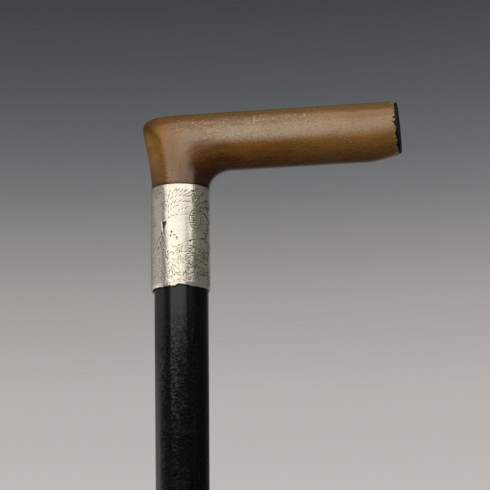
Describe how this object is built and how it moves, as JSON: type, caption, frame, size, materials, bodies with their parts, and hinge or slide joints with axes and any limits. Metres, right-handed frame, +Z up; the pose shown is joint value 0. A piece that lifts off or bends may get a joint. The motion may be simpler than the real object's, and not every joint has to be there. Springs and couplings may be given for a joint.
{
  "type": "walking cane",
  "caption": "Walking cane with an L-shaped horn handle, an engraved silver collar, a tapered black wooden shaft and a brass ferrule with a steel tip.",
  "frame": {"origin": "centre of the flat under the steel tip, where the cane meets the ground", "axes": "+Z up the shaft towards the handle, +X from the shaft along the grip, +Y completes a right-handed frame"},
  "size_m": [0.0988, 0.0224, 0.89],
  "materials": {
    "horn": "satin brown horn with lengthwise grain, worn pale on the grip and golden at thin edges",
    "dark_horn": "satin, dark brown to black",
    "silver": "engraved silver, worn and lightly tarnished in the cuts",
    "cement": "dull black pitch",
    "iron": "dark forged iron",
    "ebonised_wood": "satin black stain and polish over a fine-grained hardwood",
    "brass": "dulled brass, scratched towards the ground",
    "steel": "worn steel with traces of rust",
    "nail_brass": "filed flush"
  },
  "bodies": {
    "root": {"handle": "horn", "end_disc": "dark_horn", "collar": "silver", "collar_cement": "cement", "joining_stud": "iron", "shaft": "ebonised_wood", "ferrule": "brass", "ferrule_tip": "steel", "ferrule_nails": "nail_brass"}
  },
  "joints": []
}
